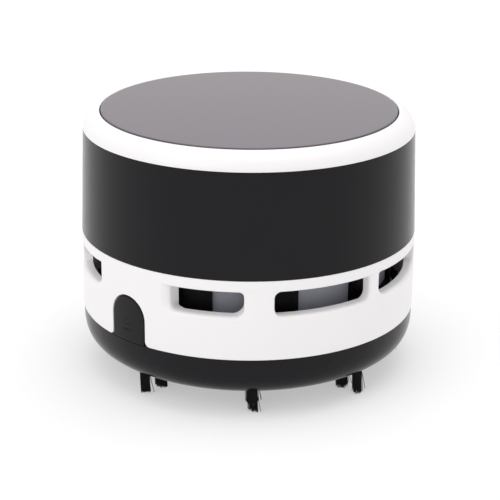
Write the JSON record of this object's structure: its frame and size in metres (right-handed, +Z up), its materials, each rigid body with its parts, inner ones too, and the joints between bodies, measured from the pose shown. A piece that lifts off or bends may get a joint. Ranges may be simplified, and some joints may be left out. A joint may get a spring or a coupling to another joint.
{
  "type": "desktop vacuum cleaner",
  "caption": "Round battery desktop vacuum with a press-top switch, pull-off battery lid, side vents, brush ring and a latched dust tray.",
  "frame": {"origin": "on the desk, under the middle of the round body", "axes": "+Z up along the body's axis; the release latch faces -Y; +X to the right of the latch"},
  "size_m": [0.086, 0.086, 0.0671],
  "materials": {
    "black_gloss": "gloss",
    "white_plastic": "semi-gloss",
    "black_satin": "satin",
    "black_inner": "satin",
    "grey_mesh": "matt, fine grille",
    "grey_plastic": "satin",
    "steel": "bright",
    "motor_iron": "lacquered laminations",
    "copper": "bright",
    "bronze": "sintered",
    "magnet": "matt",
    "nylon": "satin",
    "screw_steel": "zinc plated",
    "cell_sleeve": "printed sleeve, plain",
    "contact_steel": "nickel plated",
    "board": "solder mask",
    "switch_body": "matt",
    "switch_stem": "satin",
    "lead_red": "insulation",
    "lead_black": "insulation",
    "bristle": "nylon filament",
    "filter_cloth": "fine mesh cloth",
    "seal_rubber": "foam rubber"
  },
  "bodies": {
    "housing": {"vent_shell": "white_plastic", "body_sleeve": "black_satin", "exhaust_cage": "black_inner", "exhaust_mesh": "grey_mesh", "fan_inlet_plate": "black_inner", "motor_deck": "black_inner", "housing_screws": "screw_steel", "motor_can": "steel", "motor_magnets": "magnet", "motor_endcap": "nylon", "motor_terminals": "copper", "bushing_lower": "bronze", "bushing_upper": "bronze", "motor_screws": "screw_steel", "battery_tray": "black_inner", "tray_screws": "screw_steel", "battery_front": "cell_sleeve", "battery_rear": "cell_sleeve", "contact_springs": "contact_steel", "contact_bridge": "contact_steel", "contact_plates": "contact_steel", "circuit_board": "board", "power_switch": "switch_body", "motor_lead_red": "lead_red", "motor_lead_black": "lead_black", "battery_lead_red": "lead_red", "battery_lead_black": "lead_black"},
    "battery_lid": {"top_bezel": "white_plastic"},
    "button": {"power_button": "black_gloss"},
    "switch_stem": {"switch_plunger": "switch_stem"},
    "rotor": {"impeller": "grey_plastic", "motor_shaft": "steel", "motor_armature": "motor_iron", "motor_commutator": "copper"},
    "tray": {"dust_tray": "black_satin", "intake_tube": "black_inner", "outer_bristles": "bristle", "inner_bristles": "bristle", "filter_frame": "black_inner", "filter_mesh": "filter_cloth", "tray_seal": "seal_rubber", "latch_pin": "steel", "latch_spring": "contact_steel"},
    "latch": {"release_latch": "black_satin"}
  },
  "joints": [
    {"name": "lid_pull", "type": "slide", "parent": "housing", "child": "battery_lid", "axis": [0, 0, 1], "range_m": [0, 0.03]},
    {"name": "power_press", "type": "slide", "parent": "battery_lid", "child": "button", "axis": [0, 0, -1], "range_m": [0, 0.0015], "stiffness_N_per_m": 600, "springref_m": -0.001},
    {"name": "switch_press", "type": "slide", "parent": "housing", "child": "switch_stem", "axis": [0, 0, -1], "range_m": [0, 0.0015]},
    {"name": "fan_spin", "type": "hinge", "parent": "housing", "child": "rotor", "pos_m": [0, 0, 0.03], "axis": [0, 0, 1], "continuous": true},
    {"name": "tray_release", "type": "slide", "parent": "housing", "child": "tray", "axis": [0, 0, -1], "range_m": [0, 0.03]},
    {"name": "latch_press", "type": "hinge", "parent": "tray", "child": "latch", "pos_m": [0, -0.0399, 0.0178], "axis": [-1, 0, 0], "range_deg": [0, 5], "stiffness_Nm_per_rad": 0.02, "springref_deg": -9.74, "deforming": ["latch_spring"]}
  ],
  "couplings": [
    {"joint": "switch_press", "follows": "power_press", "ratio": 1}
  ]
}
